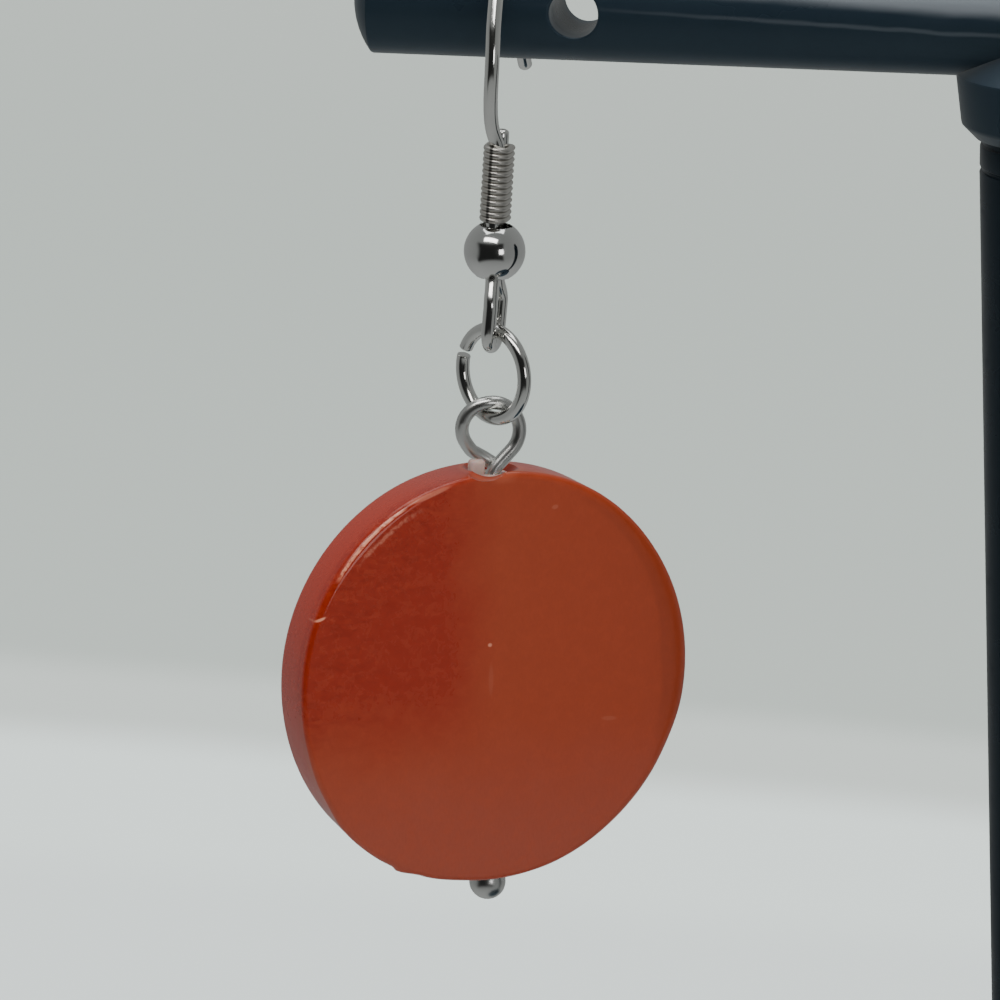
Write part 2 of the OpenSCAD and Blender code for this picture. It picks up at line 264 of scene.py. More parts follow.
# Materials
class Nodes:
    """Short ways to add nodes to the tree of a finish or of the room."""

    def __init__(self, tree):
        self.tree = tree

    def add(self, kind, **settings):
        made = self.tree.nodes.new("ShaderNode" + kind)
        for key, value in settings.items():
            setattr(made, key, value)
        return made

    def join(self, out, into):
        self.tree.links.new(out, into)

    def feed(self, node, **values):
        """Set or link a node's sockets by name; a socket's spaces are written as _."""
        for key, value in values.items():
            socket = node.inputs[key.replace("_", " ")]
            if isinstance(value, bpy.types.NodeSocket):
                self.join(value, socket)
            else:
                socket.default_value = value
        return node

    def maths(self, how, a, b=0.0):
        node = self.add("Math", operation=how)
        for socket, value in zip(node.inputs, (a, b)):
            if isinstance(value, bpy.types.NodeSocket):
                self.join(value, socket)
            else:
                socket.default_value = value
        return node.outputs[0]

    def times(self, a, b):
        return self.maths("MULTIPLY", a, b)

    def plus(self, a, b):
        return self.maths("ADD", a, b)

    def less(self, a, b):
        return self.maths("SUBTRACT", a, b)

    def span(self, value, low, high, out_low=0.0, out_high=1.0):
        """Turn a range of values into another range, softly, and hold it at its ends."""
        node = self.add("MapRange", interpolation_type="SMOOTHSTEP")
        self.feed(node, Value=value, From_Min=low, From_Max=high, To_Min=out_low, To_Max=out_high)
        return node.outputs["Result"]


class Finish(Nodes):
    """A material with its shader, its patterns set out on the object's own coordinates."""

    def __init__(self, name):
        self.mat = bpy.data.materials.new(name)
        self.mat.use_nodes = True
        super().__init__(self.mat.node_tree)
        self.shader = self.tree.nodes["Principled BSDF"]
        self.spot = self.add("TexCoord").outputs["Object"]

    def set(self, **values):
        self.feed(self.shader, **values)

    def place(self, source=None, move=(0, 0, 0), turn=(0, 0, 0), scale=(1, 1, 1)):
        node = self.add("Mapping")
        self.feed(node, Vector=source or self.spot, Location=move, Rotation=turn, Scale=scale)
        return node.outputs["Vector"]

    def noise(self, scale, detail=3, rough=0.5, source=None, distortion=0.0):
        node = self.add("TexNoise")
        self.feed(node, Vector=source or self.spot, Scale=scale, Detail=detail, Roughness=rough,
                  Distortion=distortion)
        return node.outputs["Fac"]

    def blend(self, share, a, b):
        """Mix two colours, each a tuple or a node's output, by a node's output."""
        node = self.add("Mix", data_type="RGBA")
        self.join(share, node.inputs[0])
        for socket, colour in ((node.inputs[6], a), (node.inputs[7], b)):
            if isinstance(colour, tuple):
                socket.default_value = (*colour, 1)
            else:
                self.join(colour, socket)
        return node.outputs[2]

    def bump(self, height, strength, distance):
        node = self.add("Bump")
        self.feed(node, Height=height, Strength=strength, Distance=distance)
        self.set(Normal=node.outputs["Normal"])


def give(piece, finish, slot, body, *nodes):
    """Put the finish on a piece, hang it on its body and hide the nodes it stands for; the slot is not used."""
    piece.data.materials.clear()
    piece.data.materials.append(finish.mat)
    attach(piece, body)
    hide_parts(*nodes)


def shaded(colour, share):
    return tuple(share * c for c in colour)


def black_plastic(name, shade, ior):
    """Moulded blue-black plastic with faint flow marks, fine scratches and a hazy band of painted sheen by the hub.
    """
    f = Finish(name)
    cloud = f.noise(180, 4, 0.55)
    rub_and_sheen = f.noise(900, 2, 0.6, f.place(scale=(0.25, 1, 1)))
    tone = f.blend(cloud, shaded((0.0095, 0.0155, 0.0225), shade), shaded((0.0125, 0.020, 0.0285), shade))
    # the painted sheen band, a painted reflection, with a faint light line under it: from the middle outwards it
    # climbs the bar's front
    split = f.add("SeparateXYZ")
    f.join(f.spot, split.inputs[0])
    out = f.maths("ABSOLUTE", split.outputs["X"])
    up = f.plus(f.less(split.outputs["Z"], BAR_Z * MM), f.times(f.less(rub_and_sheen, 0.5), 0.0004))
    rise = f.less(up, f.times(f.less(out, 0.006), 0.032))
    band = f.times(f.span(rise, 0.0005, 0.0011), f.span(rise, 0.0013, 0.0022, 1.0, 0.0))
    line = f.times(f.span(rise, -0.00035, -0.0002), f.span(rise, -0.00015, 0.0, 1.0, 0.0))
    near = f.times(f.span(out, 0.011, 0.028, 1.0, 0.0), f.span(split.outputs["Y"], -0.0015, -0.0005, 1.0, 0.0))
    painted_sheen = f.times(near, f.plus(band, f.times(line, 0.25)))
    tone = f.blend(painted_sheen, tone, (0.12, 0.128, 0.142))
    f.set(Base_Color=tone, Roughness=f.plus(f.span(cloud, 0.35, 0.65, 0.26, 0.34), f.span(rub_and_sheen, 0.55, 0.8, 0.0, 0.08)),
          IOR=ior, Specular_Tint=(0.7, 0.92, 1.0, 1))
    f.bump(f.plus(f.times(cloud, 0.7), f.times(rub_and_sheen, 0.3)), 0.15, 0.00003)
    return f


def silver(name, tone, low, high):
    """Bright plated metal with fine drawing lines and a haze between two roughnesses."""
    f = Finish(name)
    haze = f.noise(500, 4, 0.6)
    lines = f.noise(1500, 3, 0.6, f.place(scale=(1, 1, 0.15)))
    f.set(Base_Color=f.blend(haze, shaded(tone, 0.85), tone), Metallic=1.0,
          Roughness=f.plus(f.span(haze, 0.3, 0.7, low, high), f.span(lines, 0.5, 0.8, 0.0, 0.05)))
    f.bump(lines, 0.12, 0.00001)
    return f


def coil_wire():
    """Dull wound wire, with a painted dark reflection line up the coil's left front."""
    f = Finish("fine_coil_wire")
    haze = f.noise(700, 4, 0.6)
    # set out on the coil's own line, turned so that y runs back from the painted dark reflection line
    dark_reflection_turn = math.radians(9)
    seat = f.place(move=tuple(-v * MM for v in EYE + Vector((AXIS_AT_BEAD, 0, BEAD_UP))))
    seat = f.place(f.place(seat, turn=(0, -COIL_LEAN, 0)), turn=(0, 0, -dark_reflection_turn))
    split = f.add("SeparateXYZ")
    f.join(seat, split.inputs[0])
    aside = f.plus(split.outputs["X"], f.times(f.less(haze, 0.5), 0.0001))
    front = f.span(split.outputs["Y"], -0.0003, 0.0, 1.0, 0.0)
    line = f.times(f.span(aside, -0.00049, -0.00042), f.span(aside, -0.00036, -0.00027, 1.0, 0.0))
    tone = f.blend(haze, (0.48, 0.455, 0.42), (0.62, 0.60, 0.565))
    # painted reflection: a dark line up the coil's left front
    tone = f.blend(f.times(f.times(line, front), 0.8), tone, (0.04, 0.038, 0.036))
    f.set(Base_Color=tone, Metallic=1.0, Roughness=f.span(haze, 0.3, 0.7, 0.3, 0.42))
    f.bump(haze, 0.1, 0.00001)
    return f


def dried_glue():
    """Cloudy pinkish glue that lets some light in."""
    f = Finish("dried_glue")
    cloud = f.noise(1600, 4, 0.6)
    f.set(Base_Color=f.blend(cloud, (0.46, 0.31, 0.265), (0.60, 0.455, 0.41)),
          Roughness=f.span(cloud, 0.3, 0.7, 0.25, 0.5), IOR=1.46,
          Subsurface_Weight=0.35, Subsurface_Scale=0.0004)
    f.bump(cloud, 0.4, 0.00004)
    return f


def red_disc():
    """Brick-red dyed shell under lacquer, darker and glossier at its upper left, with a few old marks and painted
    highlights.
    """
    f = Finish("brick_red_lacquer")
    times, plus, less = f.times, f.plus, f.less
    # local: x along the face, y through the thickness (front is -y), z up, in millimetres
    place = f.add("Mapping", vector_type="TEXTURE")
    f.feed(place, Vector=f.spot, Location=DISC_MID * MM, Rotation=(0, 0, DISC_FACE + math.pi / 2),
           Scale=(MM, MM, MM))
    local = place.outputs["Vector"]
    split = f.add("SeparateXYZ")
    f.join(local, split.inputs[0])
    along, through_disc, up = split.outputs
    front = f.span(through_disc, -0.9, -0.5, 1.0, 0.0)
    wave = f.noise(0.35, 3, 0.55, local)
    fine = f.noise(2.2, 5, 0.65, local, 0.6)
    grain = f.noise(9.0, 4, 0.7, f.place(local, turn=(0, 0.5, 0), scale=(1, 1, 0.35)))
    strokes = f.noise(1.6, 5, 0.62, f.place(local, turn=(0, -0.8, 0), scale=(0.6, 1, 1.7)), 1.4)

    def away(a, b):
        """Distance from the middle, from two distances at right angles."""
        return f.maths("SQRT", plus(f.maths("POWER", a, 2.0), f.maths("POWER", b, 2.0)))

    def between(value, low_out, low_in, high_in, high_out):
        """A soft band that is full from low_in to high_in."""
        return times(f.span(value, low_out, low_in), f.span(value, high_in, high_out, 1.0, 0.0))

    reach = away(along, up)
    around = f.maths("ARCTAN2", up, along)

    def mark(x, z, slant, length, width):
        """An oval mark on the front, in local millimetres, with its slant in degrees."""
        spot = f.add("Mapping", vector_type="TEXTURE")
        f.feed(spot, Vector=local, Location=(x, 0, z), Rotation=(0, -math.radians(slant), 0),
               Scale=(length, 100, width))
        size = f.add("VectorMath", operation="LENGTH")
        f.join(spot.outputs["Vector"], size.inputs[0])
        return times(front, f.span(size.outputs["Value"], 0.5, 1.0, 1.0, 0.0))

    # dark area: left of a soft upright line and above a soft level one
    left = f.span(plus(along, times(less(wave, 0.5), 2.5)), -3.4, 0.3, 1.0, 0.0)
    rise = plus(up, times(less(wave, 0.5), 3.0))
    dark = times(left, f.span(rise, -5.0, 0.5, 0.0, 1.0))
    low = f.span(rise, -9.5, -1.5, 1.0, 0.0)
    tone = f.blend(dark, FACE_RED, DEEP_RED)
    tone = f.blend(low, tone, LOW_RED)
    tone = f.blend(times(f.span(fine, 0.42, 0.7), 0.22), tone, shaded(FACE_RED, 1.35))
    tone = f.blend(times(f.span(grain, 0.35, 0.75), 0.2), tone, shaded(FACE_RED, 0.6))
    # brushed strokes in the dark area, strongest by the edge
    edge_side = times(dark, f.span(reach, 4.5, 9.0, 0.25, 1.0))
    tone = f.blend(times(times(f.span(strokes, 0.5, 0.62), edge_side), 0.42), tone, DARK_STROKE)
    tone = f.blend(times(times(f.span(strokes, 0.36, 0.46, 1.0, 0.0), edge_side), 0.25), tone, LIGHT_STROKE)
    # painted shade: a darker band along the right edge, where its bevel faces away from the light, and the rim's own
    # tone
    bow = less(reach, times(f.maths("ABSOLUTE", less(up, 0.4)), 0.105))
    band = times(f.span(bow, 8.6, 8.85), times(f.span(up, -5.5, -1.5), f.span(along, 3.0, 7.0)))
    tone = f.blend(times(times(band, front), 0.45), tone, EDGE_SHADE_RED)
    tone = f.blend(less(1.0, front), tone, RIM_RED)
    # painted highlights: a pale rippled line inside the upper left edge, and a pale line on the edge's crest
    ripple = plus(reach, times(less(f.noise(1.6, 4, 0.6, local), 0.5), 0.35))
    painted_sheen = times(between(ripple, 9.5, 9.6, 9.68, 9.8), between(around, 1.97, 2.1, 2.38, 2.46))
    tone = f.blend(times(times(painted_sheen, front), times(f.span(fine, 0.38, 0.56), 0.28)), tone, PALE_RED)
    keen = plus(reach, times(less(fine, 0.5), 0.12))
    crest_highlight = times(between(keen, 10.05, 10.09, 10.17, 10.21), between(around, 2.06, 2.12, 2.5, 2.58))
    tone = f.blend(times(times(crest_highlight, front), f.span(strokes, 0.35, 0.55, 0.2, 0.9)), tone, PALE_RED)
    # a pale nick, a speck with a faint run, two scuffs, and a pale streak by the top that is a painted highlight
    for share, blot in ((0.85, mark(-9.36, 3.74, 24, 0.34, 0.085)), (0.55, mark(-0.41, 1.69, 0, 0.14, 0.12)),
                        (0.05, mark(-0.34, -0.05, 90, 1.0, 0.16)), (0.07, mark(6.0, -2.57, -5, 0.5, 0.14)),
                        (0.12, mark(3.0, 8.3, 10, 0.22, 0.14)), (0.3, mark(-3.65, 9.42, 19, 1.5, 0.14))):
        tone = f.blend(times(blot, share), tone, PALE_RED)
    # painted highlight: a pale edge round the hole's mouth
    from_hole = away(less(along, HOLE_SIDEWAYS), through_disc)
    mouth = times(between(from_hole, 1.15, 1.4, 1.5, 1.75), f.span(up, 9.6, 9.9))
    tone = f.blend(times(mouth, 0.2), tone, MOUTH_HIGHLIGHT_RED)
    f.set(Base_Color=tone, Roughness=plus(times(less(1.0, dark), 0.12), f.span(fine, 0.35, 0.7, 0.24, 0.3)),
          IOR=1.38, Specular_Tint=(1.0, 0.82, 0.7, 1), Coat_Weight=0.4, Coat_Roughness=0.1)
    relief = plus(times(wave, 0.6), times(fine, plus(0.06, times(dark, 0.12))))
    relief = plus(relief, plus(times(times(strokes, dark), 0.25), times(grain, 0.03)))
    f.bump(relief, 0.25, 0.00006)
    return f


# Reds of the disc: its face, the deep upper left, the lower part, the right edge's painted-shade band, the rim,
# old marks and painted highlights, the strokes of the deep part and the painted highlight on the mouth's edge
FACE_RED, DEEP_RED, LOW_RED = (0.277, 0.033, 0.009), (0.24, 0.0125, 0.004), (0.268, 0.045, 0.024)
EDGE_SHADE_RED, RIM_RED, PALE_RED = (0.20, 0.025, 0.007), (0.265, 0.02, 0.008), (0.72, 0.28, 0.18)
DARK_STROKE, LIGHT_STROKE, MOUTH_HIGHLIGHT_RED = (0.17, 0.006, 0.001), (0.34, 0.034, 0.009), (0.58, 0.14, 0.07)

black = black_plastic("glossy_black_plastic", 1.1, 1.3)
# the post's copy of the same plastic is darker: painted shade
shaded_post_black = black_plastic("shaded_black_plastic", 0.6, 1.22)
plated = silver("silver_plated_wire", (0.74, 0.735, 0.71), 0.1, 0.16)
satin = silver("satin_pin_wire", (0.66, 0.655, 0.635), 0.26, 0.34)
bead_metal = silver("polished_bead_metal", (0.70, 0.695, 0.68), 0.09, 0.13)
coil_metal = coil_wire()
glue = dried_glue()
red = red_disc()


# Stand
def make_base():
    """Plain round base with a rounded upper edge and a socket for the post's spigot."""
    base_r, thick, foot_edge, edge = 25.0, 4.0, 0.4, 1.2
    profile = [(base_r - foot_edge, 0.0), (base_r, foot_edge)]
    profile += corner((base_r - edge, thick - edge), edge, 0, 90, 8)
    profile += [(SOCKET_R, thick), (SOCKET_R, 1.95)]
    return turned("turned_base", profile, 128)


def make_post():
    """Waisted post with a fine groove below its top, another at the hub, and a spigot at each end."""
    top_r, groove, waist_r, waist_z, foot_r, spigot = 4.05, 3.93, 2.3, 24.0, 5.0, 2.5
    neck = POST_HIGH - 1.6
    sweep = [math.radians(90 * i / 20) for i in range(21)]
    foot = [(mix(foot_r, waist_r, math.sin(a)), mix(POST_LOW + 0.5, waist_z, 1 - math.cos(a))) for a in sweep]
    taper = [(mix(waist_r, top_r, i / 10), mix(waist_z, neck - 0.1, i / 10)) for i in range(1, 10)]
    profile = [(spigot, POST_LOW - 2), (spigot, POST_LOW), (foot_r - 0.15, POST_LOW), (foot_r, POST_LOW + 0.15)]
    profile += foot + taper
    profile += [(top_r, neck - 0.12), (top_r - 0.03, neck - 0.05), (groove, neck), (groove, neck + 0.15),
                (top_r - 0.03, neck + 0.2), (top_r, neck + 0.27), (top_r, POST_HIGH - 0.42),
                (top_r - 0.03, POST_HIGH - 0.35), (groove, POST_HIGH - 0.3), (groove, POST_HIGH),
                (spigot, POST_HIGH), (spigot, POST_HIGH + 3)]
    return turned("turned_post", profile)


def make_bar():
    """Bar with drilled arms: each arm's hole is let into a square of the bar's skin."""
    put_down()
    bpy.ops.mesh.primitive_cylinder_add(vertices=64, radius=BAR_R * MM,
                                        depth=(BAR_LEN - 2 * BAR_DOME) * MM, rotation=(0, math.pi / 2, 0))
    bar = newest("drilled_bar")
    reach, steps, rim, by_hub = 2.1, 8, (HOLE_R + 0.02) * MM, 7
    cuts = [side * (HOLE_X + reach * (2 * i / steps - 1)) for side in (-1, 1) for i in range(steps + 1)]
    for x in cuts + [-by_hub, by_hub]:
        pick_all(bar)
        bpy.ops.mesh.bisect(plane_co=(x * MM, 0, 0), plane_no=(1, 0, 0))

    def on_skin(x, front):
        """A test for the bar's skin round a hole, up to 45 degrees off the hole's line."""
        return lambda p: abs(p.x - x * MM) < (reach - 0.01) * MM and front * p.y > abs(p.z) * 1.0001

    def skin_y(v, front):
        return front * math.sqrt((BAR_R * MM) ** 2 - v.co.z ** 2)

    for x in (-HOLE_X, HOLE_X):
        for front in (-1, 1):
            inside = on_skin(x, front)
            pick(bar, "FACE", lambda f: inside(f.center))
            bpy.ops.mesh.delete(type="FACE")
            bpy.ops.mesh.primitive_circle_add(vertices=48, radius=HOLE_R * MM,
                                              location=(x * MM, front * BAR_R * MM, 0),
                                              rotation=(math.pi / 2, 0, 0))
            put_down()
            near = lambda v: math.hypot(v.co.x - x * MM, v.co.z) < rim and front * v.co.y > 0
            for v in bar.data.vertices:
                if near(v):
                    v.co.y = skin_y(v, front)

            def edge_of_gap(e):
                m = edge_mid(bar, e)
                if front * m.y < 0:
                    return False
                dx, dz = abs(m.x - x * MM), abs(m.z)
                if math.hypot(dx, m.z) < rim:
                    return True
                at_end = abs(dx - reach * MM) < 2e-6 and front * m.y > dz
                at_side = dx < reach * MM and abs(front * m.y - dz) < 2e-6
                return at_end or at_side

            pick(bar, "EDGE", edge_of_gap)
            bpy.ops.mesh.bridge_edge_loops(number_cuts=4, smoothness=0)
            put_down()
            for v in bar.data.vertices:
                if inside(v.co) or near(v):
                    v.co.y = skin_y(v, front)

        def mouth(e):
            m = edge_mid(bar, e)
            return abs(math.hypot(m.x - x * MM, m.z) - HOLE_R * MM) < 0.01 * MM

        def on_bar(i):
            return abs(math.hypot(*bar.data.vertices[i].co.yz) - BAR_R * MM) < 0.004 * MM

        pick(bar, "EDGE", mouth)
        bpy.ops.mesh.bridge_edge_loops(number_cuts=6, smoothness=0)
        pick(bar, "EDGE", lambda e: mouth(e) and abs(edge_mid(bar, e).y) > 2.35 * MM and all(map(on_bar, e.vertices)))
        bpy.ops.mesh.bevel(offset=0.14 * MM, segments=4, affect="EDGES")
    # each flat end rises ring by ring into a shallow dome
    flat = BAR_LEN / 2 - BAR_DOME
    round_r = (BAR_R ** 2 + BAR_DOME ** 2) / (2 * BAR_DOME)
    for side in (-1, 1):
        pick(bar, "FACE", lambda f: len(f.vertices) > 8 and abs(f.center.x - side * flat * MM) < 2e-6)
        out, radius = 0.0, BAR_R
        for i in range(1, 9):
            r = BAR_R * math.cos(math.radians(90 * i / 8.6))
            rise = math.sqrt(round_r ** 2 - r ** 2) - (round_r - BAR_DOME)
            bpy.ops.mesh.extrude_region_move(TRANSFORM_OT_translate={"value": (side * (rise - out) * MM, 0, 0)})
            bpy.ops.transform.resize(value=(1, r / radius, r / radius), center_override=(0, 0, 0))
            out, radius = rise, r
        put_down()
    pick(bar, "EDGE", lambda e: abs(abs(edge_mid(bar, e).x) - flat * MM) < 2e-6)
    bpy.ops.mesh.bevel(offset=0.08 * MM, segments=3, affect="EDGES")
    put_down()
    # the hub under the bar's middle: its lower edge, its slightly widening side and its shoulder
    hub_low, mouth_r, slope = -5.55, 4.3, 0.65
    profile = [(3.4, hub_low)] + [(mouth_r + slope * i / 4, hub_low + slope * i / 4) for i in range(5)]
    profile += [(4.98, hub_low + 0.75), (5.25, -2.6), (5.22, -2.45), (5.1, -2.35), (3.9, -1.5), (SOCKET_R, -0.6)]
    cut(bar, turned("hub", profile), "UNION")
    cut(bar, turned("socket", [(SOCKET_R, -6.5), (SOCKET_R, -2.5)], 64))
    tidy_mesh(bar)
    pick_all(bar)
    bpy.ops.transform.translate(value=(0, 0, BAR_Z * MM))
    put_down()
    return bar


# Ear wire, coil and bead
def hook_axis(up):
    """Line midway between the two wires, at a height over the eye's bottom."""
    if up < EYE_SHOULDER:
        x = EYE_LEAN * up
    elif up < BEAD_UP:
        x = mix(EYE_LEAN * EYE_SHOULDER, AXIS_AT_BEAD, ease((up - EYE_SHOULDER) / (BEAD_UP - EYE_SHOULDER)))
    else:
        x = AXIS_AT_BEAD + math.tan(COIL_LEAN) * (up - BEAD_UP)
    return EYE + Vector((x, 0, up))


def pair_half(up):
    """Half the distance between the two wires, which the eye's shoulders draw together."""
    if up > EYE_NECK:
        return PAIR_HALF
    if up < EYE_SHOULDER:
        return EYE_HALF
    return mix(EYE_HALF, PAIR_HALF, ease((up - EYE_SHOULDER) / (EYE_NECK - EYE_SHOULDER)))


def pair_point(side, up):
    return hook_axis(up) + side * pair_half(up) * EYE_DIR


def make_hook():
    """One length of wire: stub, eye, shank, leg, arch over the bar, and tail behind it."""
    heights = [EYE_SHOULDER + (EYE_NECK - EYE_SHOULDER) * i / 14 for i in range(15)]
    stub = [pair_point(1, up) for up in [COIL_TOP + 0.62, COIL_TOP + 0.2, BEAD_UP + 1, BEAD_UP]]
    stub += [pair_point(1, up) for up in heights[::-1]] + [pair_point(1, up) for up in (1.8, 1.5, 1.25)]
    eye = []
    for i in range(1, 30):
        a = math.pi * i / 30
        eye.append(hook_axis(EYE_HALF * (1 - math.sin(a))) + math.cos(a) * EYE_HALF * EYE_DIR)
    shank = [pair_point(-1, up) for up in (1.25, 1.5, 1.8)] + [pair_point(-1, up) for up in heights]
    shank += [pair_point(-1, up) for up in (BEAD_UP, BEAD_UP + 1, COIL_TOP - 0.6)]
    # the leg's course, from inside the coil's top to the arch
    leg = [(-27.146, -3.12, 79.3), (-27.16, -3.13, 79.55), (-27.27, -3.19, 79.9), (-27.36, -3.33, 80.3),
           (-27.4, -3.52, 80.75), (-27.405, -3.72, 81.25), (-27.37, -4.0, 82.0), (-27.32, -4.2, 82.7),
           (-27.28, -4.3, 83.3), (-27.26, -4.29, 83.9), (-27.26, -4.15, 84.6), (-27.28, -3.9, 85.3),
           (ARCH_X, -3.53, 86.03), (ARCH_X, -3.15, 86.74)]
    mid = BAR_Z + BAR_R + ARCH_GAP + WIRE_R - ARCH_R
    bow = [Vector((ARCH_X, -ARCH_R * math.cos(a), mid + ARCH_R * math.sin(a)))
           for a in [math.radians(mix(ARCH_LEAN, 180, i / 40)) for i in range(41)]]
    tail = []
    for i in range(1, 13):
        t = i / 12
        tail.append(Vector((ARCH_X + TAIL_SIDEWAYS * t, mix(ARCH_R, TAIL_Y, t * t), mix(mid, EYE.z + TAIL_END, t))))
    leg = through([Vector(p) for p in leg] + bow[:1])[:-1]
    return wire("ear_wire", rounded_ends(stub + eye + shank + leg + bow + tail, WIRE_R), 24)


def make_coil():
    """Fine wire wound tight round the doubled shank, each turn touching the next."""
    fine_r, spread, rest = 0.151, 0.54, 0.14
    half_turn = [-90 + 15 * i for i in range(13)]

    def round_one(side, angle):
        a = math.radians(angle)
        return side * (PAIR_HALF * EYE_DIR + spread * (math.cos(a) * EYE_DIR + math.sin(a) * EYE_SIDE))

    loop = [round_one(1, a) for a in half_turn] + [round_one(-1, a) for a in half_turn]
    count = len(loop) * COIL_TURNS
    first, last = BEAD_UP + BEAD_R - 0.17 + rest, COIL_TOP - rest
    line = [hook_axis(mix(first, last, i / count)) + loop[i % len(loop)] for i in range(count + 1)]
    return wire("wound_coil", rounded_ends(line, fine_r), 12)


def make_bead():
    """Ball bored for both wires, with a softened edge to the bore."""
    bore_r = 0.78
    put_down()
    bpy.ops.mesh.primitive_uv_sphere_add(segments=96, ring_count=64, radius=BEAD_R * MM)
    bead = newest("metal_ball")
    put_down()
    bpy.ops.mesh.primitive_cylinder_add(vertices=96, radius=bore_r * MM, depth=4 * MM)
    cut(bead, newest("bore"))
    pick(bead, "EDGE", lambda e: abs(math.hypot(*edge_mid(bead, e).xy) - bore_r * MM) < 0.004 * MM
         and all(abs(bead.data.vertices[i].co.length - BEAD_R * MM) < 0.01 * MM for i in e.vertices))
    bpy.ops.mesh.bevel(offset=0.05 * MM, segments=3, affect="EDGES")
    put_down()
    seat = EYE + Vector((BEAD_SIDEWAYS, 0, BEAD_UP))
    bead.data.transform(Matrix.Translation(seat * MM) @ Matrix.Rotation(COIL_LEAN, 4, "Y"))
    tidy_mesh(bead)
    return bead


def make_ring():
    """Open jump ring: a filled circle spun round, with its two cut ends left a little apart."""
    put_down()
    bpy.ops.mesh.primitive_circle_add(vertices=32, radius=RING_WIRE_R * MM, fill_type="NGON",
                                      location=(RING_R * MM, 0, 0), rotation=(math.pi / 2, 0, 0))
    ring = newest("open_ring")
    gap = math.radians(10)
    pick(ring, "FACE", lambda f: True)
    bpy.ops.mesh.spin(steps=160, angle=2 * math.pi - gap, center=(0, 0, 0), axis=(0, 0, 1))
    put_down()
    tidy_mesh(ring)
    pick(ring, "FACE", lambda f: len(f.vertices) > 8)
    bpy.ops.mesh.bevel(offset=0.03 * MM, segments=2, affect="EDGES")
    put_down()
    # the spin runs clockwise from its start, so the gap opens on the start's other side
    start = Matrix.Rotation(RING_GAP_AT - gap / 2, 4, "Z")
    stand = Matrix.Rotation(RING_TURN, 4, "Z") @ Matrix.Rotation(math.pi / 2, 4, "X")
    ring.data.transform(Matrix.Translation(RING_MID * MM) @ stand @ start)
    return ring


# Pin, glue and disc
def make_pin():
    """Ball head, straight shank and open loop, in one wire."""
    # the head sits in the drill's lower mouth, a little off its edge
    head_z = DISC_Z - DISC_R + LOW_MOUTH_DEEP - math.sqrt(HEAD_R ** 2 - DRILL_R ** 2) - 0.05
    foot = Vector((HANG_X, HANG_Y, 0))
    line = []
    neck = 90 - math.degrees(math.asin(PIN_R / HEAD_R))
    for i in range(33):
        a = math.radians(mix(-90, neck, i / 32))
        line.append((foot + Vector((0, 0, head_z + HEAD_R * math.sin(a))), max(HEAD_R * math.cos(a), 0.02)))
    line += [(foot + Vector((0, 0, z)), PIN_R) for z in (44.5, 50, 58, 62.6)]
    # the loop leaves the knee at the angle where its round starts, and closes at round_last
    close, round_last = math.degrees(math.acos(LOOP_R / KNEE_DOWN)), 160

    def loop_point(along, up, behind=0.0):
        return LOOP_MID + along * LOOP_DIR + Vector((0, 0, up)) + behind * LOOP_BACK

    def on_round(angle, behind=0.0):
        a = math.radians(angle)
        return loop_point(LOOP_R * math.cos(a), LOOP_R * math.sin(a), behind)

    knee = loop_point(0, -KNEE_DOWN)
    before, after = knee - Vector((0, 0, 0.5)), mix(knee, on_round(close - 90), 0.4)
    for i in range(9):
        t = i / 8
        line.append((mix(mix(before, knee, t), mix(knee, after, t), t), PIN_R))
    for i in range(46):
        t = i / 45
        # its last third leans back, clear of the jump ring
        line.append((on_round(mix(close - 90, round_last, t), 0.3 * ease(max(0, 2.9 * t - 1.9))), PIN_R))
    # the wire's end comes down behind the shank: along, up and behind
    last = [(-1.375, 0.2, 0.38), (-1.34, -0.13, 0.47), (-1.23, -0.45, 0.55), (-1.05, -0.75, 0.62),
            (-0.81, -1.07, 0.68), (-0.54, -1.25, 0.72), (-0.28, -1.40, 0.74), (-0.05, -1.55, 0.74),
            (0.15, -1.69, 0.74), (0.27, -1.77, 0.74)]
    tail = through([line[-1][0]] + [loop_point(*p) for p in last], 4)[1:]
    line += rounded_ends(tail, PIN_R - 0.003, start=False, soft=0.5)
    return wire("headed_pin", line, 24)


def make_glue():
    """Glue in the hole's mouth, with two rounded lumps that dried against the pin."""
    put_down()
    bpy.ops.mesh.primitive_cylinder_add(vertices=40, radius=0.9 * MM, depth=0.6 * MM, location=(0, 0, -0.66 * MM))
    dab = newest("glue_in_hole")
    # each lump's place from the middle of the disc's top, its size and its slant
    lumps = [((-0.84, -0.34, -0.1), (0.78, 0.58, 1.1), 4), ((0.1, -0.45, -0.55), (0.7, 0.4, 0.35), -12)]
    for place, size, slant in lumps:
        put_down()
        bpy.ops.mesh.primitive_cube_add(size=1, location=[v * MM for v in place],
                                        rotation=(0, math.radians(slant), math.radians(slant)),
                                        scale=[v * MM for v in size])
        lump = newest("lump")
        bpy.ops.object.mode_set(mode="EDIT")
        bpy.ops.mesh.select_all(action="SELECT")
        bpy.ops.mesh.bevel(offset=0.16 * MM, segments=3, affect="EDGES")
        put_down()
        cut(dab, lump, "UNION")
    use(dab, "REMESH", mode="VOXEL", voxel_size=0.035 * MM)
    use(dab, "SMOOTH", factor=0.5, iterations=4)
    put_down()
    bpy.ops.mesh.primitive_cylinder_add(vertices=32, radius=(PIN_R + 0.015) * MM, depth=4 * MM)
    cut(dab, newest("pin_way"))
    seat = Vector((HANG_X, HANG_Y, DISC_TOP))
    dab.data.transform(Matrix.Translation(seat * MM) @ Matrix.Rotation(LOOP_TURN, 4, "Z"))
    return dab


def at_angle(spots, angle):
    """Value at an angle round the face, eased between the spots."""
    for (a0, r0), (a1, r1) in zip(spots, spots[1:]):
        if a0 <= angle <= a1:
            return mix(r0, r1, ease((angle - a0) / (a1 - a0)))


